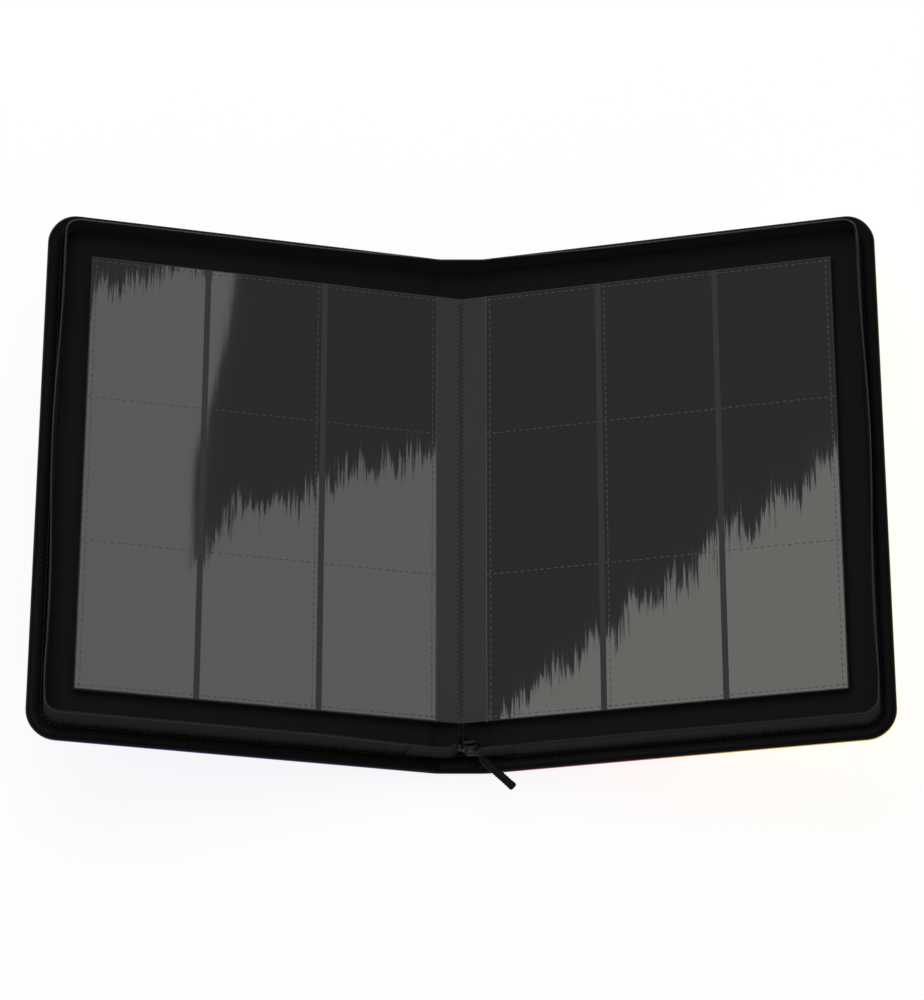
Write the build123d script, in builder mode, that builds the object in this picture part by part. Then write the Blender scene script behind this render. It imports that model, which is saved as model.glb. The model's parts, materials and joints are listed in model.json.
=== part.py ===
# Zip-round trading card binder, lying open in a shallow V on its spine.
# Frame: +X across the open binder, +Y towards the head of the pages, +Z up.
# Origin: middle of the flat outer face of the spine, which is what it rests on.
# Millimetres. Right-hand pieces are drawn; left-hand pieces are their mirror images.
from math import cos, radians, sin
import os

from build123d import *

os.makedirs("parts", exist_ok=True)

# ---------------------------------------------------------------- driving dimensions
COVER_TILT = 14.56          # how far each cover stands up from flat, degrees
CASE_HEIGHT = 340.0         # head to tail, Y
COVER_LENGTH = 238.5        # hinge axis to fore-edge
COVER_THICK = 7.0
CORNER_R = 18.0
SKIN = 0.9                  # leatherette
FOAM = 1.7
BOARD = 2.8
RIM = 9.1                   # width of the padded edge roll outside the zip wall

SPINE_FLAT = 11.1           # half width of the flat rest face
SPINE_BEND_R = 30.0
SPINE_THICK = 5.0
SPINE_BOARD = 2.4
HINGE_GAP = 3.85            # spine edge to hinge axis

WALL_INSET = 9.5            # case edge to the middle of the zip wall
TAPE = 0.8
TAPE_HEIGHT = 14.8
COIL = 2.2
MITRE_START = 6.0           # the walls are cut at 45 degrees here, to fold shut

LEAF_COUNT = 10             # on each side
TURNING_LEAVES = 3          # modelled one by one, on the left
LEAF_PITCH = 0.47
LEAF_BACKING = 0.2
FILM = 0.08
PAGE_WIDTH = 216.0          # three columns of pockets
PAGE_HEIGHT = 280.0         # three rows of pockets
POCKET_GAP = 3.6            # open strip between two columns
LEAF_MARGIN = 0.6           # backing outside the films, each side
PAGE_EDGE_X = 14.9          # inner edge of the films
PAGE_EDGE_Z = 13.3

# ---------------------------------------------------------------- derived places
TILT = radians(COVER_TILT)
along = Vector(cos(TILT), 0, sin(TILT))
up = Vector(-sin(TILT), 0, cos(TILT))
half_thick = COVER_THICK / 2
spine_end = Vector(SPINE_FLAT + SPINE_BEND_R * sin(TILT), 0, SPINE_BEND_R * (1 - cos(TILT)))
hinge = spine_end + up * half_thick + along * HINGE_GAP
page_top = Vector(PAGE_EDGE_X, 0, PAGE_EDGE_Z)
leaf_hinge = Vector(17.2, 0, 9.12)      # where the leaves fold when the case is shut
turn_axis_z = 9.75                      # the sewn fold that a leaf turns about, at x = 0

cover_plane = Plane(origin=hinge, x_dir=along, z_dir=up)
page_plane = Plane(origin=page_top, x_dir=along, z_dir=up)
cover_side = Plane(origin=hinge, x_dir=along, z_dir=Vector(0, -1, 0))


def finish(piece, label):
    piece.label = label
    export_step(piece, f"parts/{label}.step")


def finish_pair(builder, name):
    """Write the right-hand piece and its mirror image on the left."""
    finish(builder.part, f"right_{name}")
    with BuildPart() as twin:
        add(builder.part)
        mirror(about=Plane.YZ, mode=Mode.REPLACE)
    finish(twin.part, f"left_{name}")


def cover_outline(inset, start=0.0):
    """Cover outline in the cover's own plane: square at the hinge, round at the fore-edge."""
    half = CASE_HEIGHT / 2 - inset
    far = COVER_LENGTH - inset
    radius = max(CORNER_R - inset, 1.0)
    with BuildLine() as outline:
        FilletPolyline((start, -half), (far, -half), (far, half), (start, half), radius=radius)
        Line((start, half), (start, -half))
    make_face(outline.edges())


# ---------------------------------------------------------------- covers
with BuildPart() as outer_skin:
    with BuildSketch(cover_plane.offset(-half_thick)):
        cover_outline(half_thick)
    extrude(amount=SKIN)
finish_pair(outer_skin, "cover_outer_skin")

with BuildPart() as edge_roll:
    with BuildSketch(cover_plane.offset(-half_thick)):
        cover_outline(0)
    extrude(amount=COVER_THICK)
    rim_edges = edge_roll.faces().sort_by(Axis(hinge, up))
    far_edges = [e for f in (rim_edges[0], rim_edges[-1]) for e in f.edges()
                 if (e.center() - hinge).dot(along) > 1.0]
    fillet(far_edges, radius=half_thick - 0.1)
    with BuildSketch(cover_plane.offset(-half_thick)):
        cover_outline(half_thick, start=-1.0)
    extrude(amount=SKIN, mode=Mode.SUBTRACT)
    with BuildSketch(cover_plane.offset(SKIN - half_thick)):
        cover_outline(RIM, start=-1.0)
    extrude(amount=COVER_THICK, mode=Mode.SUBTRACT)
finish_pair(edge_roll, "cover_edge_roll")

with BuildPart() as foam:
    with BuildSketch(cover_plane.offset(SKIN - half_thick)):
        cover_outline(RIM)
    extrude(amount=FOAM)
finish_pair(foam, "cover_foam")

with BuildPart() as board:
    with BuildSketch(cover_plane.offset(SKIN + FOAM - half_thick)):
        cover_outline(RIM)
    extrude(amount=BOARD)
finish_pair(board, "cover_board")

with BuildPart() as lining:
    with BuildSketch(cover_plane.offset(SKIN + FOAM + BOARD - half_thick)):
        cover_outline(RIM)
    extrude(amount=COVER_THICK - SKIN - FOAM - BOARD)
finish_pair(lining, "cover_lining")


# ---------------------------------------------------------------- zip walls
def wall_ring(width, bottom, top):
    """A U of the given width along the zip line, from bottom to top above the lining."""
    with BuildPart() as ring:
        with BuildSketch(cover_plane.offset(half_thick + bottom)):
            cover_outline(WALL_INSET - width / 2)
        extrude(amount=top - bottom)
        with BuildSketch(cover_plane.offset(half_thick + bottom - 1)):
            cover_outline(WALL_INSET + width / 2, start=-1.0)
        extrude(amount=top - bottom + 2, mode=Mode.SUBTRACT)
        with BuildSketch(cover_side):
            with BuildLine() as mitre:
                foot = half_thick
                head = half_thick + TAPE_HEIGHT + COIL + 1
                Polyline((-1, foot - 1), (MITRE_START, foot - 1), (MITRE_START, foot),
                         (MITRE_START + head - foot, head), (-1, head), close=True)
            make_face(mitre.edges())
        extrude(amount=CASE_HEIGHT, both=True, mode=Mode.SUBTRACT)
    return ring


finish_pair(wall_ring(TAPE, 0, TAPE_HEIGHT), "zip_tape")
finish_pair(wall_ring(COIL, TAPE_HEIGHT, TAPE_HEIGHT + COIL), "zip_coil")


# ---------------------------------------------------------------- spine
def spine_profile(bottom, top):
    """Section of one spine layer: flat in the middle, bent up to the covers' tilt."""
    edge = SPINE_FLAT
    low = SPINE_BEND_R - bottom
    high = SPINE_BEND_R - top
    centre = (edge, SPINE_BEND_R)
    with BuildLine() as half_line:
        Line((0, bottom), (edge, bottom))
        CenterArc(centre, low, -90, COVER_TILT)
        Line((edge + low * sin(TILT), SPINE_BEND_R - low * cos(TILT)),
             (edge + high * sin(TILT), SPINE_BEND_R - high * cos(TILT)))
        CenterArc(centre, high, -90, COVER_TILT)
        Line((edge, top), (0, top))
        mirror(half_line.line, about=Plane.YZ)
    make_face(half_line.edges())


with BuildPart() as spine_skin:
    with BuildSketch(Plane.XZ):
        spine_profile(0, SKIN)
    extrude(amount=CASE_HEIGHT / 2 - half_thick, both=True)
finish(spine_skin.part, "spine_outer_skin")

with BuildPart() as spine_board:
    with BuildSketch(Plane.XZ):
        spine_profile(SKIN, SKIN + SPINE_BOARD)
    extrude(amount=CASE_HEIGHT / 2 - RIM, both=True)
finish(spine_board.part, "spine_board")

with BuildPart() as spine_lining:
    with BuildSketch(Plane.XZ):
        spine_profile(SKIN + SPINE_BOARD, SPINE_THICK)
    extrude(amount=CASE_HEIGHT / 2 - RIM, both=True)
finish(spine_lining.part, "spine_lining")

with BuildPart() as spine_roll:
    with BuildSketch(Plane.XZ):
        spine_profile(0, COVER_THICK)
    extrude(amount=CASE_HEIGHT / 2, both=True)
    end_faces = spine_roll.faces().filter_by(Axis.Y)
    long_edges = [e for f in end_faces for e in f.edges()
                  if abs(e.center().X) < spine_end.X - 2.5]
    fillet(long_edges, radius=half_thick - 0.2)
    with BuildSketch(Plane.XZ):
        spine_profile(SKIN, COVER_THICK + 1)
    extrude(amount=CASE_HEIGHT / 2 - RIM, both=True, mode=Mode.SUBTRACT)
    with BuildSketch(Plane.XZ):
        spine_profile(-1, SKIN)
    extrude(amount=CASE_HEIGHT / 2 - half_thick, both=True, mode=Mode.SUBTRACT)
finish(spine_roll.part, "spine_edge_rolls")

# Fabric gussets that close the head and the tail of the spine, tucked in towards the pages.
GUSSET_TOP = 23.0
GUSSET = 0.8
GUSSET_INNER = (2.4, 146.2)             # x and y of the ends of one gusset's slanted wall
GUSSET_OUTER = (11.0, 157.0)
for end, name in ((1, "spine_gusset_head"), (-1, "spine_gusset_tail")):
    with BuildPart() as gusset:
        with BuildSketch(Plane.XY.offset(SPINE_THICK)):
            with BuildLine():
                inner_x, inner_y = GUSSET_INNER
                outer_x, outer_y = GUSSET_OUTER
                Polyline((inner_x, end * inner_y), (outer_x, end * outer_y),
                         (outer_x, end * (outer_y + GUSSET)), (inner_x, end * (inner_y + GUSSET)),
                         close=True)
            make_face()
            mirror(about=Plane.YZ)
        extrude(amount=GUSSET_TOP - SPINE_THICK)
    finish(gusset.part, name)

# ---------------------------------------------------------------- leaves
leaf_length = PAGE_WIDTH + 2 * LEAF_MARGIN
leaf_height = PAGE_HEIGHT + 2 * LEAF_MARGIN
leaf_thick = LEAF_BACKING + 2 * FILM
column = (PAGE_WIDTH - 2 * POCKET_GAP) / 3


def right_leaf(number):
    depth = (number - 1) * LEAF_PITCH + FILM + LEAF_BACKING
    with BuildPart() as leaf:
        with BuildSketch(page_plane.offset(-depth)):
            with Locations((PAGE_WIDTH / 2, 0)):
                Rectangle(leaf_length, leaf_height)
        extrude(amount=LEAF_BACKING)
    return leaf.part


def right_films(first, last):
    """Pocket films of a run of leaves: three columns on each face."""
    with BuildPart() as films:
        for number in range(first, last + 1):
            top = (number - 1) * LEAF_PITCH
            for depth in (top + FILM, top + leaf_thick):
                with BuildSketch(page_plane.offset(-depth)):
                    for place in range(3):
                        middle = column / 2 + place * (column + POCKET_GAP)
                        with Locations((middle, 0)):
                            Rectangle(column, PAGE_HEIGHT)
                extrude(amount=FILM)
    return films.part


def mirrored(piece):
    return mirror(piece, about=Plane.YZ)


for number in range(1, LEAF_COUNT + 1):
    leaf = right_leaf(number)
    finish(leaf, f"right_leaf_{number:02d}")
    finish(mirrored(leaf), f"left_leaf_{number:02d}")

finish(right_films(1, LEAF_COUNT), "right_pocket_films")
finish(mirrored(right_films(TURNING_LEAVES + 1, LEAF_COUNT)), "left_pocket_films")
for number in range(1, TURNING_LEAVES + 1):
    finish(mirrored(right_films(number, number)), f"left_leaf_{number:02d}_films")

# The part of each turning leaf between the sewn fold and its pockets.
GUTTER_INNER = 1.0
GUTTER_OUTER = 12.0
for number in range(1, TURNING_LEAVES + 1):
    depth = (number - 1) * LEAF_PITCH + leaf_thick - FILM
    with BuildPart() as gutter:
        with BuildSketch(page_plane.offset(-depth)):
            inner = (GUTTER_INNER - PAGE_EDGE_X) / cos(TILT)
            outer = (GUTTER_OUTER - PAGE_EDGE_X) / cos(TILT)
            with Locations(((inner + outer) / 2, 0)):
                Rectangle(outer - inner, leaf_height)
        extrude(amount=LEAF_BACKING)
    finish(mirrored(gutter.part), f"left_leaf_{number:02d}_gutter")

# ---------------------------------------------------------------- binding
BINDING_WIDTH = 22.0
BINDING_THICK = 1.7
with BuildPart() as binding:
    with BuildSketch(Plane.XY.offset(SPINE_THICK)):
        with Locations((0, 0)):
            Rectangle(BINDING_WIDTH, leaf_height)
    extrude(amount=BINDING_THICK)
finish(binding.part, "binding_strip")

THREAD_WIDTH = 1.6
THREAD_THICK = 0.5
with BuildPart() as thread:
    with BuildSketch(Plane.XY.offset(SPINE_THICK + BINDING_THICK)):
        with Locations((0, 0)):
            Rectangle(THREAD_WIDTH, leaf_height - 6)
    extrude(amount=THREAD_THICK)
finish(thread.part, "binding_thread")

# ---------------------------------------------------------------- slider, at the tail of the spine
SLIDER_LENGTH = 10.0
SLIDER_WIDTH = 8.0
SLIDER_PLATE = 1.0
SLIDER_AT = -11.0                       # middle of the slider, along the cover from its hinge
slider_height = half_thick + TAPE_HEIGHT + COIL + 1.0
channel = COIL + 0.6
zip_y = WALL_INSET - CASE_HEIGHT / 2
slider_mid = hinge + along * SLIDER_AT + up * slider_height
# This plane faces out of the tail: its x runs along the zip, its y up the wall.
slider_plane = Plane(origin=slider_mid + Vector(0, zip_y, 0), x_dir=along, z_dir=Vector(0, -1, 0))

with BuildPart() as slider:
    for start in (channel / 2, -channel / 2 - SLIDER_PLATE):
        with BuildSketch(slider_plane.offset(start)):
            RectangleRounded(SLIDER_LENGTH, SLIDER_WIDTH, 2.2)
        extrude(amount=SLIDER_PLATE)
    with BuildSketch(slider_plane.offset(-channel / 2)):
        with Locations((SLIDER_LENGTH / 2 - 2.2, 0)):
            Ellipse(1.6, 0.62)
    extrude(amount=channel)
    for start in (TAPE / 2 + 0.35, -channel / 2):
        with BuildSketch(slider_plane.offset(start)):
            with GridLocations(0, SLIDER_WIDTH - 0.5, 1, 2):
                Rectangle(SLIDER_LENGTH - 4.4, 0.5)
        extrude(amount=channel / 2 - TAPE / 2 - 0.35)
finish(slider.part, "slider_body")

CROWN_WIDTH = 1.6
plate_face = channel / 2 + SLIDER_PLATE
crown_plane = Plane(origin=slider_plane.origin - up * CROWN_WIDTH / 2, x_dir=along, z_dir=up)
with BuildPart() as crown:
    with BuildSketch(crown_plane):
        with BuildLine():
            Polyline((-3.4, -plate_face), (4.4, -plate_face), (4.4, -plate_face - 1.8),
                     (3.4, -plate_face - 2.8), (-2.0, -plate_face - 2.8),
                     (-3.4, -plate_face - 1.4), close=True)
        make_face()
        with BuildLine():
            Polyline((-2.2, -plate_face), (3.5, -plate_face), (3.5, -plate_face - 1.5),
                     (3.0, -plate_face - 2.0), (-1.6, -plate_face - 2.0),
                     (-2.2, -plate_face - 1.4), close=True)
        make_face(mode=Mode.SUBTRACT)
    extrude(amount=CROWN_WIDTH)
finish(crown.part, "slider_crown")

# Pull: a wire link through the crown, and a ribbed cord grip. It swings about the link's bar.
PULL_ANGLE = 40.0           # away from the zip line, degrees
PULL_DROOP = 15.0
PULL_LENGTH = 33.0
LINK_WIRE = 1.2
bar_along = 2.1
bar_out = plate_face + 1.0
bar_at = slider_plane.origin + along * bar_along + Vector(0, -bar_out, 0)
swing = radians(PULL_ANGLE)
out = along * cos(swing) + Vector(0, -sin(swing), 0)
link_plane = Plane(origin=bar_at, x_dir=out, z_dir=up)
LINK_REACH = 5.2
ARM_OFFSET = CROWN_WIDTH / 2 + 0.9

with BuildPart() as link:
    with BuildSketch(link_plane.offset(-ARM_OFFSET)):
        Circle(LINK_WIRE / 2)
    extrude(amount=2 * ARM_OFFSET)
    for height in (-ARM_OFFSET, ARM_OFFSET - LINK_WIRE / 2):
        with BuildSketch(link_plane.offset(height)):
            with Locations((LINK_REACH / 2, 0)):
                SlotOverall(LINK_REACH + LINK_WIRE, LINK_WIRE)
        extrude(amount=LINK_WIRE / 2)
    with BuildSketch(link_plane.offset(-ARM_OFFSET)):
        with Locations((LINK_REACH, 0)):
            Circle(LINK_WIRE / 2)
    extrude(amount=2 * ARM_OFFSET)
finish(link.part, "pull_link")

droop = radians(PULL_DROOP)
grip_dir = out * cos(droop) - up * sin(droop)
grip_up = up * cos(droop) + out * sin(droop)
GRIP_WIDTH = 5.0
GRIP_THICK = 3.8
GRIP_START = LINK_REACH + LINK_WIRE / 2 + 0.55
grip_plane = Plane(origin=bar_at + out * GRIP_START, x_dir=grip_dir, z_dir=grip_up)
grip_length = PULL_LENGTH - GRIP_START
with BuildPart() as grip:
    with BuildSketch(grip_plane.offset(-GRIP_WIDTH / 2)):
        with Locations((grip_length / 2, 0)):
            RectangleRounded(grip_length, GRIP_THICK, 1.8)
    extrude(amount=GRIP_WIDTH)
    end_caps = grip.faces().filter_by(Axis(grip_plane.origin, grip_up))
    fillet(end_caps.edges(), radius=1.2)
finish(grip.part, "pull_grip")

STOP_LENGTH = 2.4
with BuildPart() as stop:
    with BuildSketch(slider_plane.offset(-1.5)):
        with Locations((-SLIDER_LENGTH / 2 - 0.2 - STOP_LENGTH / 2, 0)):
            RectangleRounded(STOP_LENGTH, 3.6, 0.8)
    extrude(amount=3.0)
finish(stop.part, "zip_end_stop")
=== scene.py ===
# A zip-round trading card binder, open in a shallow V on a pale table.
import json
import math

import bmesh
import bpy
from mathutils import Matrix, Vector


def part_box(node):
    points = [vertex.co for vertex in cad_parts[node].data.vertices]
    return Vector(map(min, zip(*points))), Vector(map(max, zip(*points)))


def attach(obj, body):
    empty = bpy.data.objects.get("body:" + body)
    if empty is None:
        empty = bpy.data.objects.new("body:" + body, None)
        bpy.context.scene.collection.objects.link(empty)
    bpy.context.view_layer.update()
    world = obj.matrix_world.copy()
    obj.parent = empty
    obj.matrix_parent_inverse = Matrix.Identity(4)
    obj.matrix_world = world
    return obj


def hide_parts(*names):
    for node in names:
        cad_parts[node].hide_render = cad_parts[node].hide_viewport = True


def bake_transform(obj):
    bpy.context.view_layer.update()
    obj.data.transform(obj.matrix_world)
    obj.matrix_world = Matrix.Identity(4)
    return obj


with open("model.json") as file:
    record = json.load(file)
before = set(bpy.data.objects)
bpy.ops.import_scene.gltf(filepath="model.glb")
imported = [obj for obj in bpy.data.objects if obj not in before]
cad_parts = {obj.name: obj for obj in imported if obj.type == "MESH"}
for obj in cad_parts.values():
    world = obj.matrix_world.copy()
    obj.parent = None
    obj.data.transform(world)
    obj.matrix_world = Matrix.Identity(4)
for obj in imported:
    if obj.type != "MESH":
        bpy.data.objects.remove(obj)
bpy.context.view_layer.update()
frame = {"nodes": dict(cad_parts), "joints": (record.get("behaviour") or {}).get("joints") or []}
joints = {joint["name"]: joint for joint in frame["joints"]}

# ---------------------------------------------------------------- camera
# A long lens, well above the tail of the binder, looks down on both halves of it.
# It stands over two metres away, so the binder's far edge looks almost as wide as its near edge.
COVER_TILT = math.radians(joints["right_cover_fold"]["range_deg"][1])     # each cover, above flat
PAGE_EDGE = Vector((0.0149, 0, 0.0133))     # inner edge of the right-hand page's pockets
CAMERA_ELEVATION = math.radians(66.3)
CAMERA_DISTANCE = 2.345
look_at = Vector((0, 0.0025, PAGE_EDGE.z))
gaze = Vector((0, math.cos(CAMERA_ELEVATION), -math.sin(CAMERA_ELEVATION)))
camera = bpy.data.objects.new("camera", bpy.data.cameras.new("camera"))
camera.location = look_at - gaze * CAMERA_DISTANCE
camera.rotation_euler = gaze.to_track_quat("-Z", "Y").to_euler()
camera.data.lens = 139
camera.data.sensor_width = 36
camera.data.shift_x = 0.0007
camera.data.clip_end = 100
bpy.context.scene.collection.objects.link(camera)
bpy.context.scene.camera = camera


# ---------------------------------------------------------------- table and light
# The table is a matt off-white sheet, lit from within a little so that it stays white under the case.
# The sky is an even pale white, and one broad soft light stands beyond the binder's head.
def hex_colour(code):
    """An sRGB hex colour as linear red, green, blue and alpha, by the sRGB standard's own curve."""
    parts = [int(code[i:i + 2], 16) / 255 for i in (1, 3, 5)]
    return tuple(p / 12.92 if p <= 0.04045 else ((p + 0.055) / 1.055) ** 2.4 for p in parts) + (1.0,)


def add_node(tree, kind, settings=None, links=None):
    """Add a node with its settings and with the sockets that feed it."""
    made = tree.nodes.new(kind)
    for name, value in (settings or {}).items():
        if isinstance(name, str) and hasattr(made, name):
            setattr(made, name, value)
        else:
            made.inputs[name].default_value = value
    for name, source in (links or {}).items():
        tree.links.new(source, made.inputs[name])
    return made


def new_material(name, colour, roughness, **sockets):
    """A material of one shader, and that shader; sockets are further values of it."""
    material = bpy.data.materials.new(name)
    material.use_nodes = True
    shader = material.node_tree.nodes["Principled BSDF"]
    shader.inputs["Base Color"].default_value = hex_colour(colour)
    shader.inputs["Roughness"].default_value = roughness
    for socket, value in sockets.items():
        shader.inputs[socket.replace("_", " ")].default_value = value
    material.diffuse_color = hex_colour(colour)
    return material, shader


def new_object(name, mesh, *materials):
    """Put a mesh into the scene under a name."""
    made = bpy.data.objects.new(name, mesh)
    bpy.context.scene.collection.objects.link(made)
    for material in materials:
        mesh.materials.append(material)
    return made


TABLE_HALF = 7.0
TABLE_DROP = 0.0003         # the table lies just under the spine, so the two share no plane
table_mesh = bpy.data.meshes.new("table")
table_mesh.from_pydata([(x * TABLE_HALF, y * TABLE_HALF, 0) for x, y in ((-1, -1), (1, -1), (1, 1), (-1, 1))],
                       [], [(0, 1, 2, 3)])
table_paint = new_material("table_matt_white", "#848484", 0.9, Specular_IOR_Level=0.0,
                           Emission_Color=hex_colour("#ffffff"), Emission_Strength=0.88)[0]
table = new_object("table", table_mesh, table_paint)
table.location.z = -TABLE_DROP

scene = bpy.context.scene
scene.view_settings.view_transform = "Standard"
sky = bpy.data.worlds.new("sky")
scene.world = sky
sky.use_nodes = True
sky_light = sky.node_tree.nodes["Background"]
sky_light.inputs["Color"].default_value = hex_colour("#f7f8fa")
sky_light.inputs["Strength"].default_value = 0.40

key = bpy.data.objects.new("key_light", bpy.data.lights.new("key_light", "AREA"))
key.data.shape = "RECTANGLE"
key.data.size = 2.4
key.data.size_y = 1.6
key.data.energy = 16
key.location = (-0.4, 1.5, 2.4)
key.rotation_euler = (look_at - key.location).to_track_quat("-Z", "Y").to_euler()
key.visible_glossy = False
scene.collection.objects.link(key)

# Soft boxes stand where the pages and covers mirror them into the camera, and only gloss shows them.
page_along = Vector((math.cos(COVER_TILT), 0, math.sin(COVER_TILT)))
page_up = Vector((-math.sin(COVER_TILT), 0, math.cos(COVER_TILT)))
SOFT_BOX_AWAY = 1.5


def cover_up(side):
    """The direction straight up from an open cover."""
    return Vector((side * page_up.x, 0, page_up.z))


def mirrored_spot(side, p, q):
    """The point of a soft box that a page mirrors at p across it and q along it."""
    spot = PAGE_EDGE + page_along * p + Vector((0, q, 0))
    face = cover_up(side)
    spot.x *= side
    sight = (spot - camera.location).normalized()
    return spot + (sight - 2 * sight.dot(face) * face) * SOFT_BOX_AWAY


def soft_box(name, side, corners, strength, tint):
    """A glowing card that shows in a page as the outline given by its corners, each a (p, q) pair."""
    mesh = bpy.data.meshes.new(name)
    mesh.from_pydata([mirrored_spot(side, p, q) for p, q in corners], [], [range(len(corners))])
    glow = bpy.data.materials.new(name)
    glow.use_nodes = True
    tree = glow.node_tree
    tree.nodes.remove(tree.nodes["Principled BSDF"])
    light = add_node(tree, "ShaderNodeEmission", {"Color": hex_colour(tint), "Strength": strength})
    tree.links.new(light.outputs[0], tree.nodes["Material Output"].inputs["Surface"])
    card = new_object(name, mesh, glow)
    card.visible_camera = False
    card.visible_diffuse = False
    card.visible_transmission = False
    card.visible_shadow = False


# In the left page: all of the outer column, its shine running down into the middle one, and the tail.
LEFT_SHINE = [(0.1265, 0.148), (0.166, 0.145), (0.224, 0.106), (0.224, -0.165), (-0.01, -0.165), (-0.01, 0.040),
              (0.066, 0.010), (0.078, -0.004), (0.132, -0.024), (0.149, -0.056), (0.148, 0.008), (0.1432, 0.045)]
# In the right page: everything under a line that climbs from the binding's tail to the fore-edge.
RIGHT_SHINE = [(0.004, -0.142), (0.212, 0.004), (0.30, 0.066), (0.30, -0.22), (0.004, -0.22)]
# On the right cover: its tail edge, and a strip beyond its fore-edge.
COVER_SHINE = [(0.31, -0.04), (0.37, -0.04), (0.37, -0.80), (-0.05, -0.80), (-0.05, -0.23), (0.31, -0.23)]
soft_box("soft_box_right", -1, LEFT_SHINE, 3.1, "#fdfdff")
soft_box("soft_box_left", 1, RIGHT_SHINE, 4.3, "#fffbf5")
soft_box("soft_box_cover", 1, COVER_SHINE, 3.4, "#fff9f0")

# ---------------------------------------------------------------- the case's curve
# The open case is one padded sheet: flat under the spine, bent once on each side, then straight.
# Its layers are glued and sewn together, so they all follow this one curve.
SIDES = ((1, "right"), (-1, "left"))
SPINE_FLAT = 0.0111         # half the part that lies flat on the table
SPINE_BEND = 0.030          # radius of the bend beside it, at the outer face
HINGE_GAP = 0.00385         # from the end of the bend to the crease that the cover folds about
COVER_WIDTH = 0.2385        # from that crease to the fore-edge
THICK = 0.007
CORNER_R = 0.018
SEAM = 0.0095               # the zip is sewn in this far from the edge
HEAD_STRETCH = 0.15         # the padding outside that seam is a little wider at the head
bend_end = SPINE_FLAT + SPINE_BEND * COVER_TILT
fore_u = bend_end + HINGE_GAP + COVER_WIDTH
half_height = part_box("right_cover_edge_roll")[1].y
corner_u, corner_v = fore_u - CORNER_R, half_height - CORNER_R      # middle of a rounded corner


def case_point(u, v, n):
    """A point of the case: u across it from mid-spine, v along it, n in from its outer face."""
    side = 1 if u >= 0 else -1
    angle = min(max(abs(u) - SPINE_FLAT, 0) / SPINE_BEND, COVER_TILT)
    straight = max(abs(u) - bend_end, 0)
    v += HEAD_STRETCH * max(v - (half_height - SEAM), 0)
    x = min(abs(u), SPINE_FLAT) + SPINE_BEND * math.sin(angle) + straight * math.cos(angle)
    z = SPINE_BEND * (1 - math.cos(angle)) + straight * math.sin(angle)
    return Vector((side * (x - n * math.sin(angle)), v, z + n * math.cos(angle)))


def spread(start, end, step):
    """Evenly spaced values from start to end, about a step apart."""
    count = max(1, round(abs(end - start) / step))
    return [start + (end - start) * i / count for i in range(count + 1)]


def smooth(t):
    """A smooth climb from 0 to 1 as t goes from 0 to 1, level at both ends."""
    t = min(max(t, 0.0), 1.0)
    return t * t * (3 - 2 * t)


def plain_mesh(made):
    """Bake an object's modifiers into its mesh."""
    graph = bpy.context.evaluated_depsgraph_get()
    mesh = bpy.data.meshes.new_from_object(made.evaluated_get(graph))
    made.modifiers.clear()
    made.data = mesh
    return made


def thicken(made, thickness):
    """Give an open sheet its thickness, away from the side it faces, with crisp rims."""
    wall = made.modifiers.new("wall", "SOLIDIFY")
    wall.thickness = thickness
    wall.offset = -1
    wall.use_even_offset = True
    plain_mesh(made)
    made.data.set_sharp_from_angle(angle=math.radians(50))
    return made


def sheet_object(name, points, faces, outward, material, thickness):
    """A closed thin piece from an open sheet whose faces look along outward."""
    mesh = bpy.data.meshes.new(name)
    mesh.from_pydata(points, [], faces)
    work = bmesh.new()
    work.from_mesh(mesh)
    bmesh.ops.remove_doubles(work, verts=work.verts, dist=1e-6)
    facing = sum((f.normal.dot(outward) * f.calc_area() for f in work.faces), 0.0)
    if facing < 0:
        bmesh.ops.reverse_faces(work, faces=work.faces)
    for face in work.faces:
        face.smooth = True
    work.to_mesh(mesh)
    work.free()
    return thicken(new_object(name, mesh, material), thickness)


FINE, COARSE = 0.0015, 0.008        # spacing across the case where it bends, and where it is straight
CORNER_STEP = math.pi / 20
RUNGS = 28                          # steps along it, from tail to head


def case_sheet(name, rings, side, u_from, u_to, material, thickness, outward):
    """A layer of the case between two places across it, or out to the fore-edge if u_to is None.

    rings are (inset from the edge, height) pairs, outermost first; a height may depend on u."""
    straight_end = corner_u if u_to is None else u_to
    stations = [(u, 0.0) for u in spread(u_from, straight_end, FINE if u_to else COARSE)]
    if u_to is None:
        stations += [(straight_end, a) for a in spread(0, math.pi / 2, CORNER_STEP)[1:]]

    def height(level, u):
        return level(u) if callable(level) else level

    def tail(station, inset):
        u, angle = station
        radius = CORNER_R - inset
        return u + radius * math.sin(angle), -(corner_v + radius * math.cos(angle))

    columns = []
    for station in stations:
        tail_side = [(*tail(station, inset), level) for inset, level in rings]
        u, v, level = tail_side[-1]
        rungs = [(u, v * (1 - 2 * i / RUNGS), level) for i in range(1, RUNGS)]
        head_side = [(u, -v, level) for u, v, level in reversed(tail_side)]
        columns.append(tail_side + rungs + head_side)
    strips = [columns]
    if u_to is None:
        strips.append([[(fore_u - inset, -corner_v * (1 - 2 * i / RUNGS), level) for inset, level in rings]
                       for i in range(RUNGS + 1)])
    points, faces = [], []
    for strip in strips:
        first = len(points)
        width = len(strip[0])
        points += [case_point(side * u, v, height(level, u)) for column in strip for u, v, level in column]
        for i in range(len(strip) - 1):
            for a in range(first + i * width, first + i * width + width - 1):
                faces.append((a, a + 1, a + width + 1, a + width))
    return sheet_object(name, points, faces, outward, material, thickness)


SPINE_PART = 0.0165         # the spine's own part of each layer ends here, across the case
COVER_PART = 0.0290         # and the cover's own part begins here, with the fold between them
FOLD_EASE = 0.0005          # a margin just inside them, read only in calls whose results go unused


def bend_at_fold(crease, side):
    """Bake a piece between spine and cover into place; it is attached to no body, so it does not bend with the
    cover.
    """
    case_point(side * (SPINE_PART + FOLD_EASE), 0, THICK / 2)
    case_point(side * (COVER_PART - FOLD_EASE), 0, THICK / 2)
    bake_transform(crease)


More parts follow.
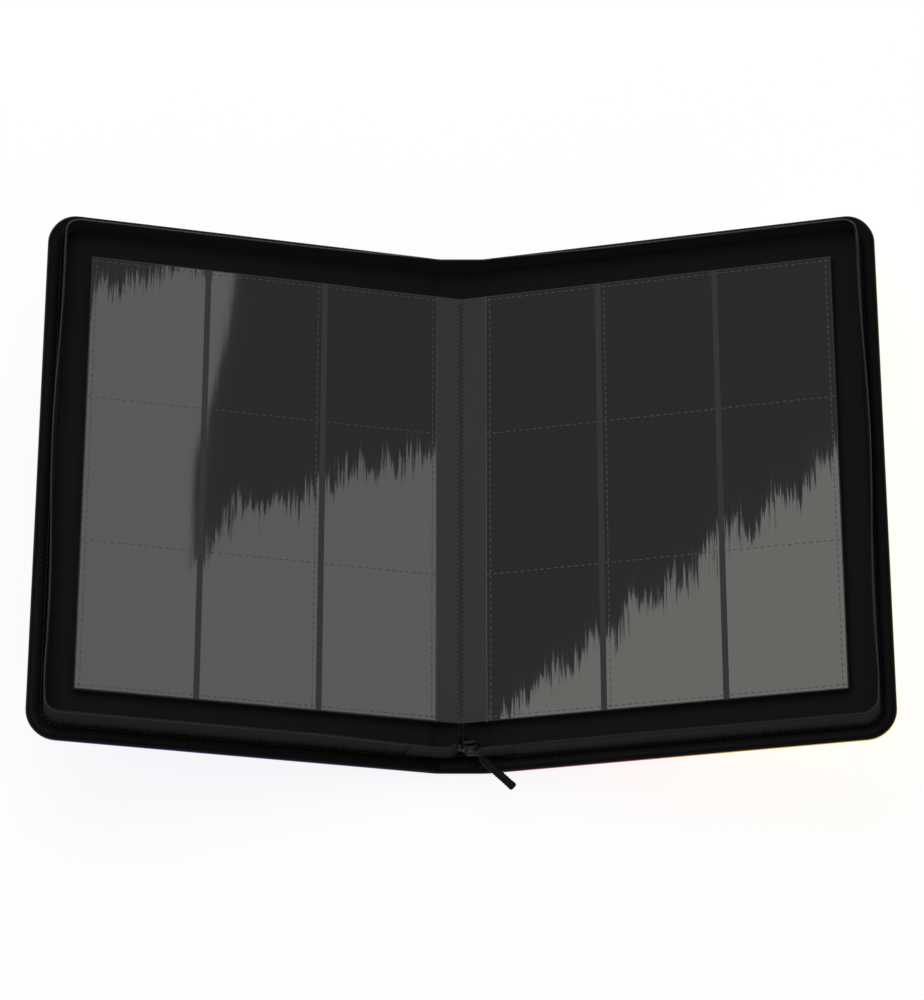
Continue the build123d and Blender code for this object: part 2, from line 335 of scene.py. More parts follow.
def case_layer(name, rings, material, thickness, outward, replaced):
    """One layer of the case in five parts: two covers, two folds and the spine."""
    for side, hand in SIDES:
        cover = case_sheet(f"{name}_{hand}", rings, side, COVER_PART, None, material, thickness, outward)
        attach(cover, f"{hand}_cover")
        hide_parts(f"{hand}_cover_{replaced}")
        crease = case_sheet(f"{name}_fold_{hand}", rings, side, SPINE_PART, COVER_PART, material,
                            thickness, outward)
        bend_at_fold(crease, side)
    spine = case_sheet(f"{name}_spine", rings, 1, -SPINE_PART, SPINE_PART, material, thickness, outward)
    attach(spine, "spine")
    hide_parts(f"spine_{replaced}")


# ---------------------------------------------------------------- boards and foam
# Pressed grey board and a thin sheet of closed-cell foam stiffen and pad each cover and the spine.
# They are glued between the outer skin and the lining, and show only if the case is cut open.
board_grey, board_shader = new_material("pressed_grey_board", "#8d8a84", 0.85)
foam_black, foam_shader = new_material("closed_cell_foam", "#2a2a2b", 0.9)


def fine_grain(material, shader, grain_mm, depth_mm):
    """Bump from noise whose grains are grain_mm wide and depth_mm deep."""
    tree = material.node_tree
    place = add_node(tree, "ShaderNodeTexCoord")
    grains = add_node(tree, "ShaderNodeTexNoise", {"Scale": 1000 / grain_mm, "Detail": 2.0},
                      {"Vector": place.outputs["Object"]})
    bump = add_node(tree, "ShaderNodeBump", {"Strength": 1.0, "Distance": depth_mm / 1000},
                    {"Height": grains.outputs[0]})
    tree.links.new(bump.outputs[0], shader.inputs["Normal"])


def refinish(node_name, material):
    """Give a CAD node the material of the real piece."""
    slots = frame["nodes"][node_name].data.materials
    slots.clear()
    slots.append(material)


fine_grain(board_grey, board_shader, grain_mm=1.5, depth_mm=0.08)       # matted paper fibre
fine_grain(foam_black, foam_shader, grain_mm=0.7, depth_mm=0.08)        # cut cells
for node_name in frame["nodes"]:
    if node_name.endswith("_board"):
        refinish(node_name, board_grey)
    elif node_name.endswith("_foam"):
        refinish(node_name, foam_black)


# ---------------------------------------------------------------- black leatherette
# Polyurethane leathercloth, embossed on a roller: a pebble grain over broad low wrinkles, with a soft sheen.
# Two finishes of it cover the case: near black on the bound edge, and printed on the outside.
PEBBLE_MM, WRINKLE_MM = 1.1, 4.0
WRINKLE_SHARE = 0.6         # height of the wrinkles against the pebbles
LEATHER = 0.0009            # thickness of the cloth


def leathercloth(name, colour, roughness):
    """Leathercloth, its shader and its place node."""
    material, shader = new_material(name, colour, roughness, Specular_IOR_Level=0.06)
    tree = material.node_tree
    place = add_node(tree, "ShaderNodeTexCoord")
    pebbles = add_node(tree, "ShaderNodeTexVoronoi", {"Scale": 1000 / PEBBLE_MM, "Randomness": 0.9},
                       {"Vector": place.outputs["Object"]})
    wrinkles = add_node(tree, "ShaderNodeTexNoise", {"Scale": 1000 / WRINKLE_MM, "Detail": 3.0},
                        {"Vector": place.outputs["Object"]})
    relief = add_node(tree, "ShaderNodeMath", {"operation": "MULTIPLY_ADD", 1: WRINKLE_SHARE},
                      {0: wrinkles.outputs[0], 2: pebbles.outputs["Distance"]})
    bump = add_node(tree, "ShaderNodeBump", {"Strength": 0.6, "Distance": 0.00012},
                    {"Height": relief.outputs[0]})
    tree.links.new(bump.outputs[0], shader.inputs["Normal"])
    return material, shader, place


black_leather = leathercloth("black_leathercloth", "#090909", 0.46)[0]


# ---------------------------------------------------------------- outer skin
# One printed piece of leathercloth covers the outside of both covers and the spine, and wraps round the edge
# to a little above its middle. The print is an abstract wash, from deep blue at the left to yellow at the right.
SWAY = 0.34                 # how far the colours wander, as a share of the case's width


def printed_leather():
    """Leathercloth with the wash of colour on it."""
    material, shader, place = leathercloth("printed_leathercloth", "#30204a", 0.38)
    tree = material.node_tree
    bands = add_node(tree, "ShaderNodeTexNoise", {"Scale": 9.0, "Detail": 2.0, "Distortion": 1.2},
                     {"Vector": place.outputs["Object"]})
    split = add_node(tree, "ShaderNodeSeparateXYZ", links={"Vector": place.outputs["Object"]})
    across = add_node(tree, "ShaderNodeMapRange", {"From Min": -0.25, "From Max": 0.25},
                      {"Value": split.outputs["X"]})
    sway = add_node(tree, "ShaderNodeMath", {"operation": "MULTIPLY_ADD", 1: SWAY},
                    {0: bands.outputs[0], 2: across.outputs[0]})
    centred = add_node(tree, "ShaderNodeMath", {"operation": "SUBTRACT", 1: SWAY / 2}, {0: sway.outputs[0]})
    wash = add_node(tree, "ShaderNodeValToRGB", links={"Fac": centred.outputs[0]})
    ramp = wash.color_ramp.elements
    ramp[0].position, ramp[0].color = 0.0, hex_colour("#0b1650")
    ramp[1].position, ramp[1].color = 1.0, hex_colour("#f2de1c")
    for position, colour in ((0.18, "#1c3a9c"), (0.36, "#5a2a86"), (0.50, "#4a1222"),
                             (0.64, "#c23a6c"), (0.78, "#ee8a3a")):
        ramp.new(position).color = hex_colour(colour)
    tree.links.new(wash.outputs[0], shader.inputs["Base Color"])
    return material


print_leather = printed_leather()
EDGE_R = THICK / 2          # the edge is a half round
PRINT_TOP = math.radians(9)
UNDERSIDE_FROM = 0.0075     # inside this, the skin is flat


def edge_ring(angle):
    """Inset and height on the rounded edge, at an angle above its middle."""
    return EDGE_R - EDGE_R * math.cos(angle), EDGE_R + EDGE_R * math.sin(angle)


print_rings = [edge_ring(a) for a in spread(PRINT_TOP, -math.pi / 2, math.pi / 16)] + [(UNDERSIDE_FROM, 0.0)]
case_layer("outer_skin", print_rings, print_leather, LEATHER, Vector((0, 0, -1)),
           "outer_skin")

# ---------------------------------------------------------------- edge roll
# A black bound edge: leathercloth turned over a cord of padding and sewn down beside the zip.
# It starts where the print ends, crowns over the padding, and dips into the seam.
ROLL_TOP = [(0.0052, 0.00712), (0.0070, 0.00705), (0.0084, 0.00675), (0.0091, 0.0062), (SEAM, 0.0056)]
ROLL_DIP = 0.0008           # how much lower it is over the spine, which is thinner
DIP_FROM, DIP_WIDTH = 0.012, 0.010
EDGE_STEP = 0.012


def roll_at(level):
    """Height of a line of the roll, by the place across the case."""
    return lambda u: level - ROLL_DIP * (1 - smooth((abs(u) - DIP_FROM) / DIP_WIDTH)) * (level > EDGE_R)


roll_rings = [edge_ring(a) for a in spread(PRINT_TOP, math.pi / 2, math.pi / 20)] + ROLL_TOP
roll_rings = [(inset, roll_at(level)) for inset, level in roll_rings]


def outline(inset, u_from, run_step, edge_step, turn_step):
    """Places round a cover, from tail to head at an inset from its edge: u, v, and the direction outwards."""
    radius = CORNER_R - inset
    turn = [(math.sin(a), math.cos(a)) for a in spread(0, math.pi / 2, turn_step)[1:]]
    run = spread(u_from, corner_u, run_step)
    places = [(u, -(half_height - inset), 0, -1) for u in run]
    places += [(corner_u + radius * s, -(corner_v + radius * c), s, -c) for s, c in turn]
    places += [(fore_u - inset, v, 1, 0) for v in spread(-corner_v, corner_v, edge_step)[1:-1]]
    places += [(corner_u + radius * s, corner_v + radius * c, s, c) for s, c in reversed(turn)]
    return places + [(u, half_height - inset, 0, 1) for u in reversed(run)]


def roll_piece(name, side, paths):
    """Edge roll along paths of places on the case's edge."""
    points, faces = [], []
    width = len(roll_rings)
    for path in paths:
        first = len(points)
        points += [case_point(side * (u - out_u * inset), v - out_v * inset, level(u))
                   for u, v, out_u, out_v in path for inset, level in roll_rings]
        for i in range(len(path) - 1):
            for a in range(first + i * width, first + i * width + width - 1):
                faces.append((a, a + 1, a + width + 1, a + width))
    made = sheet_object(name, points, faces, Vector((0, 0, 1)), black_leather, LEATHER)
    return made


def both_ends(u_from, u_to):
    """Paths along a stretch of the case at its tail and at its head, wound alike."""
    stations = spread(u_from, u_to, FINE)
    return [[(u, -half_height, 0, -1) for u in stations], [(u, half_height, 0, 1) for u in reversed(stations)]]


for side, hand in SIDES:
    cover_roll = roll_piece(f"edge_roll_{hand}", side, [outline(0, COVER_PART, COARSE, EDGE_STEP, math.pi / 24)])
    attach(cover_roll, f"{hand}_cover")
    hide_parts(f"{hand}_cover_edge_roll")
    fold_roll = roll_piece(f"edge_roll_fold_{hand}", side, both_ends(SPINE_PART, COVER_PART))
    bend_at_fold(fold_roll, side)
spine_roll = roll_piece("edge_roll_spine", 1, both_ends(-SPINE_PART, SPINE_PART))
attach(spine_roll, "spine")
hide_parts("spine_edge_rolls")


# ---------------------------------------------------------------- lining
# Black polyester lining, plain woven, glued to the board and caught in the seam beside the zip.
# Its fine even weave gives a dull surface that brightens a little at a low angle.
WAVE_PERIOD_MM = 100 * math.pi      # a wave texture of scale 1 repeats at this distance


def woven(name, colour, pitch_mm, specular, sheen=0.06):
    """A plain weave. Its threads are drawn several times further apart than the real ones, so that they show."""
    material, shader = new_material(name, colour, 0.85, Specular_IOR_Level=specular, Sheen_Weight=sheen)
    tree = material.node_tree
    place = add_node(tree, "ShaderNodeTexCoord")
    threads = [add_node(tree, "ShaderNodeTexWave",
                        {"bands_direction": direction, "Distortion": 0.4, "Detail": 1.0,
                         "Scale": WAVE_PERIOD_MM / pitch_mm},
                        {"Vector": place.outputs["Object"]}) for direction in ("X", "Y")]
    weave = add_node(tree, "ShaderNodeMath", {"operation": "MAXIMUM"},
                     {0: threads[0].outputs["Fac"], 1: threads[1].outputs["Fac"]})
    bump = add_node(tree, "ShaderNodeBump", {"Strength": 0.5, "Distance": 0.00015},
                    {"Height": weave.outputs[0]})
    tree.links.new(bump.outputs[0], shader.inputs["Normal"])
    return material


lining_cloth = woven("woven_lining", "#111111", pitch_mm=2.513, specular=0.15)
LINING = 0.0008             # thickness, with its glue
LINING_LOW = 0.0052         # height over the spine, which has no foam
LINING_RISE = 0.0018        # and how much higher it is on the covers
RISE_FROM, RISE_WIDTH = 0.014, 0.009


def lining_level(u):
    """Height of the lining's face, by the place across the case."""
    return LINING_LOW + LINING_RISE * smooth((abs(u) - RISE_FROM) / RISE_WIDTH)


# The lining turns down into the seam in two steps.
lining_rings = [(SEAM, lambda u: lining_level(u) - 0.0010), (0.0101, lambda u: lining_level(u) - 0.0003),
                (0.0112, lining_level)]
case_layer("lining", lining_rings, lining_cloth, LINING, Vector((0, 0, 1)), "lining")

# ---------------------------------------------------------------- zip tape
# Black woven polyester tape, sewn in between the edge roll and the lining, and standing up like a wall.
# At the spine's head the two tapes meet, and at its tail they turn in towards the leaves, side by side.
TAPE = 0.0008               # thickness
TAPE_TOP = THICK + 0.0148
TAPE_FOOT = 0.0006          # how far below the lining's face it is sewn in
tape_cloth = woven("woven_zip_tape", "#262626", pitch_mm=3.770, specular=0.05, sheen=0.0)
WALL_START = 0.036          # from here outwards the wall stands on the cover alone
WALL_HOLD = 0.002           # a place near mid-spine, read only in a call whose result goes unused
TAIL_TURN = {1: 0.0036, -1: 0.0075}     # radius of each tape's turn towards the leaves
TAIL_END = -0.1462          # where they stop, short of the leaves
TAIL_GAP = 0.0011           # the turned-in tapes run on this far from the middle
CORNER_LEAN, SLACK_LEAN = 0.0006, 0.0014        # how far the top leans out: at a corner, and more between them
SLACK_WAVE, WAVE_REACH, WAVE_START = 0.0012, 0.034, 1.1
TAUT = 0.030                # the corners hold the tape taut for this far


def fore_edge_wave(v):
    """How far the loose top of the wall leans out along the fore-edge, in a slack wave between the corners."""
    slack = smooth((half_height - SEAM - abs(v)) / TAUT)
    return CORNER_LEAN + slack * (SLACK_LEAN + SLACK_WAVE * math.sin(v / WAVE_REACH + WAVE_START))


def long_edge_lean(side, u, v):
    """How far the top leans out along head and tail: a little in on the covers, least beside the slider's run."""
    on_cover = smooth((u - 0.020) / 0.080)
    if v > 0:
        return 0.0002 - 0.0014 * on_cover
    return 0.0003 - (0.0006 if side > 0 else 0.0016) * on_cover


def tail_wall_path(side):
    """From the cover to mid-spine, then in towards the leaves; the left tape turns in more widely."""
    turn = TAIL_TURN[side]
    places = [(u, -(half_height - SEAM), 0, -1) for u in spread(WALL_START, TAIL_GAP + turn, FINE)]
    for a in spread(0, math.pi / 2, math.pi / 12)[1:]:
        places.append((TAIL_GAP + turn * (1 - math.sin(a)),
                       -(half_height - SEAM) + turn * (1 - math.cos(a)), -math.sin(a), -math.cos(a)))
    return places + [(TAIL_GAP, v, -1, 0) for v in spread(turn - half_height + SEAM, TAIL_END, FINE)[1:]]


cover_wall_path = outline(SEAM, WALL_START, 0.005, 0.004, math.pi / 18)
head_wall_path = [(u, half_height - SEAM, 0, 1) for u in spread(WALL_START, 0.0, FINE)]


def wall_point(side, place, n):
    """A point of the wall at height n, or of what stands on it."""
    u, v, out_u, out_v = place
    climb = max(n - THICK, 0) / (TAPE_TOP - THICK)
    if out_u < 0:
        return case_point(side * u, v, n)
    lean = climb ** 1.6 * (out_v ** 2 * long_edge_lean(side, u, v) + out_u ** 2 * fore_edge_wave(v))
    return case_point(side * (u + out_u * lean), v + out_v * lean, n)


def tape_wall(name, side, path):
    """Tape standing along a path, from its foot to its top."""
    points = []
    for place in path:
        foot = lining_level(place[0]) - TAPE_FOOT
        points += [wall_point(side, place, foot + (TAPE_TOP - foot) * share) for share in (0, 0.15, 0.4, 0.7, 1)]
    width = len(points) // len(path)
    faces = [(a, a + 1, a + width + 1, a + width) for i in range(len(path) - 1)
             for a in range(i * width, i * width + width - 1)]
    # The wall stands upright and has no outer face of its own, so its faces stay as they are wound.
    made = sheet_object(name, points, faces, Vector((0, 0, 0)), tape_cloth, TAPE)
    return made


def bend_zip_ends(tail_end, head_end, side):
    """Bake the zip's ends at tail and head into place; they are attached to no body, so they do not follow the
    cover.
    """
    case_point(side * WALL_HOLD, 0, 0)
    case_point(side * WALL_START, 0, TAPE_TOP)
    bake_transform(tail_end)
    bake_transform(head_end)


for side, hand in SIDES:
    cover_wall = tape_wall(f"zip_tape_{hand}", side, cover_wall_path)
    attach(cover_wall, f"{hand}_cover")
    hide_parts(f"{hand}_zip_tape")
    tail_end = tape_wall(f"zip_tape_tail_end_{hand}", side, tail_wall_path(side))
    head_end = tape_wall(f"zip_tape_head_end_{hand}", side, head_wall_path)
    bend_zip_ends(tail_end, head_end, side)
    if side > 0:
        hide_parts("spine_gusset_tail")
        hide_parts("spine_gusset_head")


# ---------------------------------------------------------------- zip coil
# A continuous nylon coil, crimped into teeth and sewn along the top of each tape.
# The crimped heads are smooth and round, so each catches a small highlight.
def repeat_along(name, item_kind, item_settings, material):
    """A node tree that sets an item along lines, at a pitch, with its Z towards Up."""
    tree = bpy.data.node_groups.new(name, "GeometryNodeTree")
    for label, kind in (("Lines", "NodeSocketGeometry"), ("Pitch", "NodeSocketFloat"),
                        ("Item Size", "NodeSocketVector"), ("Up", "NodeSocketVector")):
        tree.interface.new_socket(label, in_out="INPUT", socket_type=kind)
    tree.interface.new_socket("Items", in_out="OUTPUT", socket_type="NodeSocketGeometry")
    given = add_node(tree, "NodeGroupInput")
    lines = add_node(tree, "GeometryNodeMeshToCurve", links={"Mesh": given.outputs["Lines"]})
    spots = add_node(tree, "GeometryNodeCurveToPoints", {"mode": "LENGTH"},
                     {"Curve": lines.outputs[0], "Length": given.outputs["Pitch"]})
    item = add_node(tree, item_kind, item_settings)
    facing = add_node(tree, "FunctionNodeAlignRotationToVector", {"axis": "X"},
                      {"Vector": spots.outputs["Tangent"]})
    upright = add_node(tree, "FunctionNodeAlignRotationToVector", {"axis": "Z", "pivot_axis": "X"},
                       {"Rotation": facing.outputs[0], "Vector": given.outputs["Up"]})
    placed = add_node(tree, "GeometryNodeInstanceOnPoints", None,
                      {"Points": spots.outputs["Points"], "Instance": item.outputs["Mesh"],
                       "Rotation": upright.outputs[0], "Scale": given.outputs["Item Size"]})
    real = add_node(tree, "GeometryNodeRealizeInstances", links={"Geometry": placed.outputs[0]})
    finished = add_node(tree, "GeometryNodeSetMaterial", {"Material": material},
                        {"Geometry": real.outputs[0]})
    result = add_node(tree, "NodeGroupOutput")
    tree.links.new(finished.outputs[0], result.inputs[0])
    return tree


def set_along(name, tree, chains, pitch, size, up):
    """Items of a repeat tree along chains of points, baked to a plain mesh."""
    mesh = bpy.data.meshes.new(name)
    points, edges = [], []
    for chain in chains:
        edges += [(len(points) + i, len(points) + i + 1) for i in range(len(chain) - 1)]
        points += chain
    mesh.from_pydata(points, edges, [])
    made = new_object(name, mesh)
    row = made.modifiers.new("row", "NODES")
    row.node_group = tree
    values = {"Pitch": pitch, "Item Size": size, "Up": up}
    for socket in tree.interface.items_tree:
        if socket.in_out == "INPUT" and socket.name in values:
            row[socket.identifier] = values[socket.name]
    return plain_mesh(made)


coil_nylon, coil_shader = new_material("crimped_nylon_coil", "#101010", 0.30)
fine_grain(coil_nylon, coil_shader, grain_mm=0.5, depth_mm=0.03)
teeth = repeat_along("zip_teeth", "GeometryNodeMeshUVSphere", {"Segments": 8, "Rings": 6, "Radius": 0.5},
                     coil_nylon)
TOOTH = (0.00105, 0.0017, 0.0021)       # along the zip, across it, and up
TOOTH_PITCH = 0.00132
COIL_MID = TAPE_TOP + 0.0010


def zip_coil(name, side, path, up):
    """Teeth along the top of the wall on a path."""
    coil = set_along(name, teeth, [[wall_point(side, place, COIL_MID) for place in path]], TOOTH_PITCH, TOOTH, up)
    return coil


for side, hand in SIDES:
    cover_coil = zip_coil(f"zip_coil_{hand}", side, cover_wall_path, cover_up(side))
    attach(cover_coil, f"{hand}_cover")
    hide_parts(f"{hand}_zip_coil")
    tail_end = zip_coil(f"zip_coil_tail_end_{hand}", side, tail_wall_path(side), Vector((0, 0, 1)))
    head_end = zip_coil(f"zip_coil_head_end_{hand}", side, head_wall_path, Vector((0, 0, 1)))
    bend_zip_ends(tail_end, head_end, side)

# ---------------------------------------------------------------- seam thread
# Black bonded polyester thread, lockstitched along the inner edge of the edge roll.
# Each stitch is a short plump bead between two needle holes.
thread_black, thread_shader = new_material("bonded_thread", "#1b1b1c", 0.6, Specular_IOR_Level=0.3)
fine_grain(thread_black, thread_shader, grain_mm=0.4, depth_mm=0.05)
stitches = repeat_along("stitches", "GeometryNodeMeshUVSphere", {"Segments": 6, "Rings": 4, "Radius": 0.5},
                        thread_black)
STITCH = (0.0027, 0.0007, 0.0006)
STITCH_PITCH = 0.0033
STITCH_INSET, STITCH_LEVEL = 0.0080, 0.0069     # from the case's edge, and above its outer face
stitch_path = outline(STITCH_INSET, COVER_PART, 1, 1, math.pi / 18)
for side, hand in SIDES:
    chain = [case_point(side * u, v, STITCH_LEVEL) for u, v, out_u, out_v in stitch_path]
    seam = set_along(f"edge_stitches_{hand}", stitches, [chain], STITCH_PITCH, STITCH, cover_up(side))
    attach(seam, f"{hand}_cover")

# ---------------------------------------------------------------- leaves
# Each leaf is a black backing sheet with a row of pockets welded to both faces, sewn in at the spine.
# The backing is a woven-look polypropylene sheet, paler than the lining. It shows between the pocket columns.
PAGE_WIDTH, PAGE_HEIGHT = 0.216, 0.280
MARGIN = 0.0006             # backing outside the pockets
LEAF_PITCH = 0.00047        # from the top of one leaf to the top of the next
BACKING = 0.0002
FILM = 0.00008
BIND_Z = 0.00990            # height of the top leaf at mid-spine
BIND_SLOPE = 0.12           # and how steeply it leaves there
cover_slope = math.tan(COVER_TILT)


def page_point(side, p, q, depth):
    """A point of a page: p across from the pockets' inner edge, q along, depth below the top face.

    Between mid-spine and the pockets the page follows a cubic curve that meets both smoothly."""
    if p >= 0:
        spot = PAGE_EDGE + page_along * p - page_up * depth
        return Vector((side * spot.x, q, spot.z))
    edge = PAGE_EDGE - page_up * depth
    x = max(edge.x + p * page_along.x, 0)
    t = x / edge.x
    rise = edge.z - (BIND_Z - depth)
    z = (BIND_Z - depth + BIND_SLOPE * edge.x * (t ** 3 - 2 * t ** 2 + t)
         + rise * (3 * t ** 2 - 2 * t ** 3) + cover_slope * edge.x * (t ** 3 - t ** 2))
    return Vector((side * x, q, z))


backing_black = woven("woven_leaf_backing", "#464646", pitch_mm=4.712, specular=0.12)
NEAR_BINDING = 0.008        # a sheet may bend up to here, so it is divided finely


def leaf_backing(name, side, number, start, end):
    """The backing sheet between two places across the page."""
    depth = (number - 1) * LEAF_PITCH + FILM
    across = spread(start, min(end, NEAR_BINDING), 0.0012)
    if end > NEAR_BINDING:
        across += spread(NEAR_BINDING, end, 0.01)[1:]
    up_down = spread(-PAGE_HEIGHT / 2 - MARGIN, PAGE_HEIGHT / 2 + MARGIN, 0.02)
    points = [page_point(side, p, q, depth) for p in across for q in up_down]
    width = len(up_down)
    faces = [(a, a + 1, a + width + 1, a + width) for i in range(len(across) - 1)
             for a in range(i * width, i * width + width - 1)]
    made = sheet_object(name, points, faces, Vector((0, 0, 1)), backing_black, BACKING)
    return made


# ---------------------------------------------------------------- pocket film
# Clear polypropylene film on the black backing: together they look like one dark sheet with a sharp gloss.
# The film is drawn down the page as it is made, so its reflections break into streaks that way.
pocket_film, film_shader = new_material("clear_polypropylene_film", "#2c2c2c", 0.035, IOR=1.5,
                                        Specular_IOR_Level=0.36)
film_tree = pocket_film.node_tree
film_place = add_node(film_tree, "ShaderNodeTexCoord")


def film_tilt(streak_mm, length_mm, tilt, detail):
    """Draw marks: streaks down the page that tip the film a little towards head or tail."""
    stretch = add_node(film_tree, "ShaderNodeMapping", {"Scale": (1000 / streak_mm, 1000 / length_mm, 40)},
                       {"Vector": film_place.outputs["Object"]})
    marks = add_node(film_tree, "ShaderNodeTexNoise", {"Scale": 1.0, "Detail": detail, "Roughness": 0.6},
                     {"Vector": stretch.outputs[0]})
    level = add_node(film_tree, "ShaderNodeMath", {"operation": "SUBTRACT", 1: 0.5}, {0: marks.outputs[0]})
    return add_node(film_tree, "ShaderNodeMath", {"operation": "MULTIPLY", 1: tilt}, {0: level.outputs[0]})


broad = film_tilt(streak_mm=14.0, length_mm=60.0, tilt=0.024, detail=2.0)
fine = film_tilt(streak_mm=1.3, length_mm=42.0, tilt=0.040, detail=5.0)
both = add_node(film_tree, "ShaderNodeMath", {"operation": "ADD"}, {0: broad.outputs[0], 1: fine.outputs[0]})
tip = add_node(film_tree, "ShaderNodeCombineXYZ", links={"Y": both.outputs[0]})
film_face = add_node(film_tree, "ShaderNodeNewGeometry")
tipped = add_node(film_tree, "ShaderNodeVectorMath", {"operation": "ADD"},
                  {0: film_face.outputs["Normal"], 1: tip.outputs[0]})
settled = add_node(film_tree, "ShaderNodeVectorMath", {"operation": "NORMALIZE"}, {0: tipped.outputs[0]})
film_tree.links.new(settled.outputs[0], film_shader.inputs["Normal"])

COLUMNS, ROWS = 3, 3
POCKET_GAP = 0.0036         # between two columns
PUFF = 0.000025             # how far an empty pocket stands up in its middle
column_width = (PAGE_WIDTH - (COLUMNS - 1) * POCKET_GAP) / COLUMNS
row_height = PAGE_HEIGHT / ROWS
column_starts = [column * (column_width + POCKET_GAP) for column in range(COLUMNS)]


def pocket_films(name, side, number, both_faces):
    """Three columns of film on the leaf's upper face, and on its lower face too if it has both."""
    points, faces = [], []
    top = (number - 1) * LEAF_PITCH
    across, along = spread(0, 1, 0.05), spread(0, ROWS, 0.075)
    width = len(along)
    for p_start in column_starts:
        for low in (False, True) if both_faces else (False,):
            first = len(points)
            for a in across:
                for b in along:
                    swell = 16 * a * (1 - a) * (b % 1) * (1 - b % 1) * PUFF
                    depth = top + FILM + BACKING + FILM + swell if low else top - swell
                    points.append(page_point(side, p_start + a * column_width,
                                             b * row_height - PAGE_HEIGHT / 2, depth))
            for i in range(len(across) - 1):
                for c in range(first + i * width, first + i * width + width - 1):
                    loop = (c, c + 1, c + width + 1, c + width)
                    faces.append(loop if low == (side > 0) else loop[::-1])
    mesh = bpy.data.meshes.new(name)
    mesh.from_pydata(points, [], faces)
    for face in mesh.polygons:
        face.use_smooth = True
    made = thicken(new_object(name, mesh, pocket_film), FILM * 0.9)
    return made


# ---------------------------------------------------------------- welds
# The film is melted to the backing in short dashes along each pocket's closed sides, by a heated tool.
# Its inner edge is welded in one unbroken line, the hem. Melted film is paler and duller than clear film.
weld_film, weld_shader = new_material("welded_polypropylene", "#414141", 0.55, IOR=1.5)
fine_grain(weld_film, weld_shader, grain_mm=0.6, depth_mm=0.02)
welds = repeat_along("welds", "GeometryNodeMeshCube", {"Size": (1, 1, 1)}, weld_film)
WELD = (0.0022, 0.00055, 0.00008)
WELD_PITCH = 0.0040
WELD_RISE = 0.00002         # how far the middles of the dashes stand off the film
EDGE_INSET = 0.002          # from the leaf's head and tail to their welds
END_INSET = 0.0015          # from a column's sides to the ends of the welds across it
WELDS_DOWN = (0.0028, column_starts[1] + 0.0022, PAGE_WIDTH - 0.0025)
HEM = (0.0025, 0.0005, 0.00006)         # one length of the hem; they meet end to end
HEM_P = 0.0003              # its place across the page


def weld_lines(side, depth):
    """The lines of welds of one page face."""
    end = PAGE_HEIGHT / 2 - EDGE_INSET
    lines = [[(start + END_INSET, q), (start + column_width - END_INSET, q)]
             for q in (-end, -row_height / 2, row_height / 2, end) for start in column_starts]
    lines += [[(p, -end), (p, end)] for p in WELDS_DOWN]
    return [[page_point(side, p, q, depth) for p, q in line] for line in lines]


def make_leaf(name, side, number, both_faces, across):
    """One leaf: backing, films and welds, each baked in place."""
    backing = leaf_backing(f"{name}_backing", side, number, *across)
    film = pocket_films(f"{name}_pockets", side, number, both_faces)
    top = (number - 1) * LEAF_PITCH
    lines = weld_lines(side, top - WELD_RISE)
    if both_faces:
        lines += weld_lines(side, top + 2 * FILM + BACKING + WELD_RISE)
    weld = set_along(f"{name}_welds", welds, lines, WELD_PITCH, WELD, cover_up(side))
    hem_line = [page_point(side, HEM_P, q, top) for q in (-PAGE_HEIGHT / 2, PAGE_HEIGHT / 2)]
    hem = set_along(f"{name}_hem", welds, [hem_line], HEM[0], HEM, cover_up(side))
    for piece in (backing, film, weld, hem):
        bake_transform(piece)
    return backing, film


# Across a page: where its sheet is sewn, where a turning leaf's gutter ends, and its outer edge.
sewn = (0.00006 - PAGE_EDGE.x) / page_along.x
freed = (0.0070 - PAGE_EDGE.x) / page_along.x
outer = PAGE_WIDTH + MARGIN
right_backing, right_film = make_leaf("right_page", 1, 1, False, (sewn, outer))
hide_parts("right_leaf_01")
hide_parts("right_pocket_films")
for number in (1, 2, 3):
    leaf = f"leaf_{number:02d}"
    backing, film = make_leaf(leaf, -1, number, True, (freed, outer))
    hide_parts(f"left_{leaf}")
    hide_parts(f"left_{leaf}_films")
    gutter = leaf_backing(f"{leaf}_gutter_sheet", -1, number, sewn, freed)
    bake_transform(gutter)
    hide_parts(f"left_{leaf}_gutter")
left_backing, left_film = make_leaf("left_page", -1, 4, False, (sewn, outer))
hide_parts("left_leaf_04")
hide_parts("left_pocket_films")
# The leaves under the top ones, and the strip under them, get the backing painted darker. This is painted shade,
# for the shade they lie in under the top leaves.
leaf_backing_painted_shade = woven("woven_leaf_backing_painted_shade", "#1b1b1b", pitch_mm=5.027, specular=0.08)
for node_name in frame["nodes"]:
    if "_leaf_" in node_name or node_name == "binding_strip":
        refinish(node_name, leaf_backing_painted_shade)

# ---------------------------------------------------------------- binding stitch
# Matt spun thread, sewn in a zigzag through the leaves' gutters and the strip under them into the spine.
# It lies just proud of the top leaf, along the middle of the binding.
soft_thread, soft_thread_shader = new_material("matt_spun_thread", "#565656", 0.8, Specular_IOR_Level=0.1)
fine_grain(soft_thread, soft_thread_shader, grain_mm=0.4, depth_mm=0.05)
THREAD_R = 0.0002
THREAD_RISE = 0.00012       # its middle stands off the leaf by this, so it beds in a little
STITCHED_HALF = 0.137       # half the length that is sewn
ZIGZAG_WIDTH = 0.0040
ZIGZAG_PITCH = 0.0030
ZIGZAG_MID = -0.0005
zigzag = bpy.data.curves.new("binding_stitch", "CURVE")
zigzag.dimensions = "3D"
zigzag.bevel_depth = THREAD_R
zigzag.bevel_resolution = 1
zigzag.use_fill_caps = True
run = zigzag.splines.new("POLY")
turns = spread(-STITCHED_HALF, STITCHED_HALF, ZIGZAG_PITCH / 2)
run.points.add(len(turns) - 1)
for i, (point, v) in enumerate(zip(run.points, turns)):
    x = ZIGZAG_MID + ZIGZAG_WIDTH / 2 * (1 if i % 2 else -1)
    z = page_point(1, (abs(x) - PAGE_EDGE.x) / page_along.x, v, 0).z
    point.co = (x, v, z + THREAD_RISE, 1)
stitch_curve = bpy.data.objects.new("binding_stitch_curve", zigzag)
